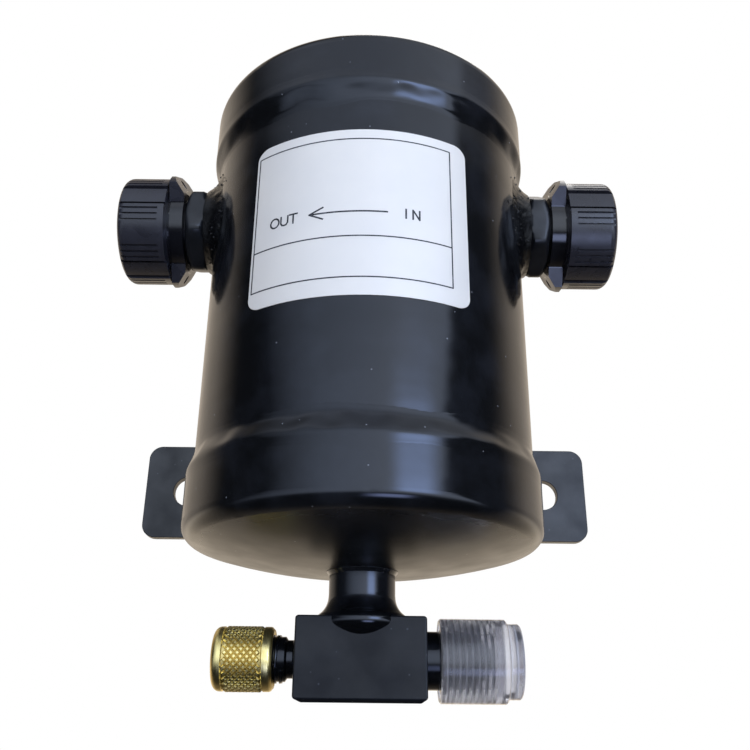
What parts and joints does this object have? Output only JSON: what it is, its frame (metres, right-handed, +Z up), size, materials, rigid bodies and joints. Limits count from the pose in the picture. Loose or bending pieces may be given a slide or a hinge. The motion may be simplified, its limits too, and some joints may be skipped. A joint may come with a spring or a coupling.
{
  "type": "refrigeration oil separator",
  "caption": "Black upright oil separator vessel with capped side ports, a rear mounting plate, and an oil return tee below with a knurled brass service cap and a clear cap.",
  "frame": {"origin": "the middle of the two bolt holes, on the back face of the mounting plate", "axes": "+Z up along the vessel, +Y into the wall that the plate is bolted to, +X from the outlet to the inlet"},
  "size_m": [0.136, 0.0916, 0.1649],
  "materials": {
    "shell_paint": "gloss black paint on welded steel",
    "plate_paint": "semi-gloss black paint on flat steel",
    "fitting_paint": "gloss black paint on turned steel and weld",
    "tee_paint": "semi-gloss black paint on steel",
    "cap_plastic": "moulded black plastic, slightly glossy",
    "cap_brass": "knurled brass",
    "valve_brass": "turned brass",
    "pin_steel": "turned stainless steel",
    "gasket_rubber": "black rubber",
    "clear_plastic": "frosted clear plastic",
    "label_film": "silver-white printed film",
    "screen_steel": "pierced stainless sheet",
    "baffle_steel": "plain steel sheet",
    "float_plastic": "moulded float"
  },
  "bodies": {
    "vessel": {"shell_tube": "shell_paint", "top_cap": "shell_paint", "bottom_cap": "shell_paint", "top_seam_weld": "shell_paint", "bottom_seam_weld": "shell_paint", "mounting_plate": "plate_paint", "plate_weld_left": "plate_paint", "plate_weld_right": "plate_paint", "inlet_fitting": "fitting_paint", "outlet_fitting": "fitting_paint", "inlet_weld": "fitting_paint", "outlet_weld": "fitting_paint", "oil_stem": "tee_paint", "stem_weld_ring": "tee_paint", "stem_braze": "tee_paint", "tee_block": "tee_paint", "service_port": "tee_paint", "valve_core": "valve_brass", "return_port": "tee_paint", "label": "label_film", "inlet_screen": "screen_steel", "outlet_screen": "screen_steel", "centre_baffle": "baffle_steel", "sump_baffle": "baffle_steel", "valve_seat": "valve_brass", "float_bracket": "baffle_steel", "pivot_pin": "pin_steel"},
    "inlet_cap": {"inlet_dust_cap": "cap_plastic"},
    "outlet_cap": {"outlet_dust_cap": "cap_plastic"},
    "service_cap": {"service_cap": "cap_brass", "service_gasket": "gasket_rubber"},
    "return_cap": {"return_cap": "clear_plastic"},
    "valve_pin": {"valve_pin": "pin_steel"},
    "float": {"float_arm": "baffle_steel", "float_ball": "float_plastic"},
    "needle": {"needle": "pin_steel"}
  },
  "joints": [
    {"name": "inlet_cap_off", "type": "slide", "parent": "vessel", "child": "inlet_cap", "axis": [1, 0, 0], "range_m": [0, 0.05]},
    {"name": "outlet_cap_off", "type": "slide", "parent": "vessel", "child": "outlet_cap", "axis": [-1, 0, 0], "range_m": [0, 0.05]},
    {"name": "service_cap_off", "type": "slide", "parent": "vessel", "child": "service_cap", "axis": [-1, 0, 0], "range_m": [0, 0.035]},
    {"name": "return_cap_off", "type": "slide", "parent": "vessel", "child": "return_cap", "axis": [1, 0, 0], "range_m": [0, 0.045]},
    {"name": "valve_pin_press", "type": "slide", "parent": "vessel", "child": "valve_pin", "axis": [1, 0, 0], "range_m": [0, 0.0015], "stiffness_N_per_m": 1500, "springref_m": -0.001},
    {"name": "float_lift", "type": "hinge", "parent": "vessel", "child": "float", "pos_m": [-0.009, -0.0474, -0.012], "axis": [0, -1, 0], "range_deg": [0, 12]},
    {"name": "needle_lift", "type": "slide", "parent": "vessel", "child": "needle", "axis": [0, 0, 1], "range_m": [0, 0.002]}
  ],
  "couplings": [
    {"joint": "needle_lift", "follows": "float_lift", "m_per_rad": 0.009}
  ]
}
